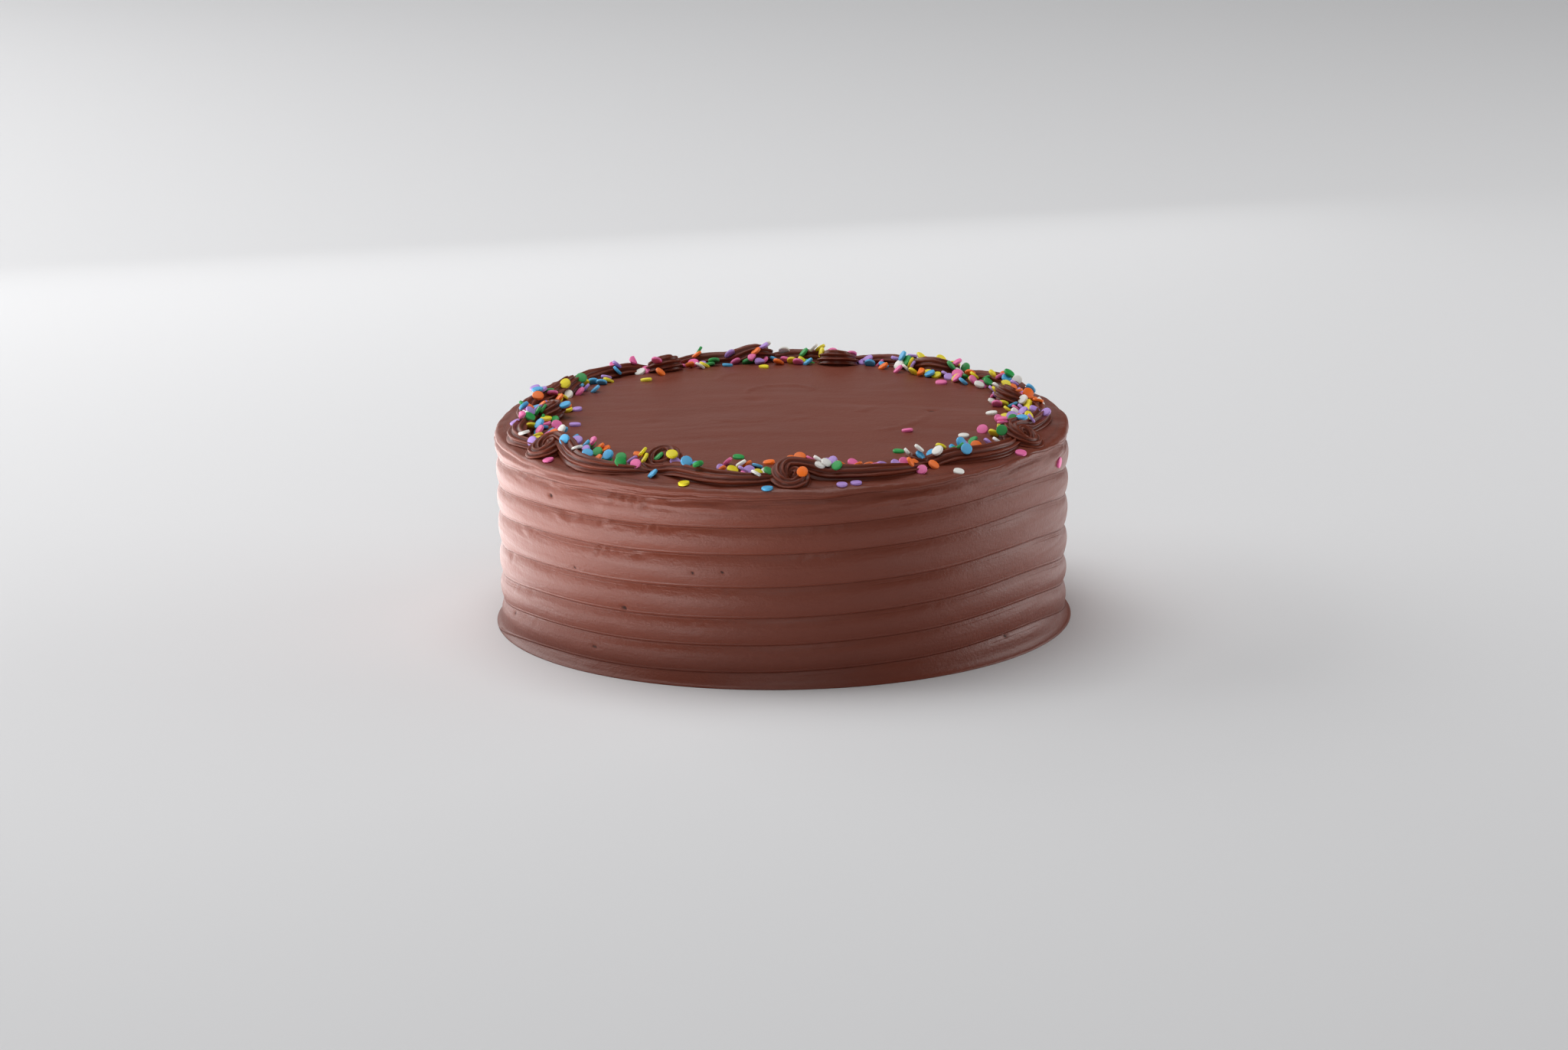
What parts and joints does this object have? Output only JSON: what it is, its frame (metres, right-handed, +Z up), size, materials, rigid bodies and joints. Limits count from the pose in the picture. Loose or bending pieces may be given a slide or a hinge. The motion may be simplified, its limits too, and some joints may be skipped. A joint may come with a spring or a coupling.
{
  "type": "chocolate cake",
  "caption": "Whole round chocolate cake with a banded buttercream side, a piped scroll border and confetti sprinkles.",
  "frame": {"origin": "middle of the flat underside of the cake", "axes": "+Z up through the middle of the cake, -Y towards the side that the picture shows, +X to that view's right"},
  "size_m": [0.2432, 0.2432, 0.0953],
  "materials": {
    "chocolate_icing": null,
    "piped_icing": null,
    "sprinkle_pink": "matt sugar",
    "sprinkle_orange": "matt sugar",
    "sprinkle_yellow": "matt sugar",
    "sprinkle_green": "matt sugar",
    "sprinkle_blue": "matt sugar",
    "sprinkle_lilac": "matt sugar",
    "sprinkle_white": "matt sugar"
  },
  "bodies": {
    "root": {"frosted_cake": "chocolate_icing", "piped_border": "piped_icing"}
  },
  "joints": []
}
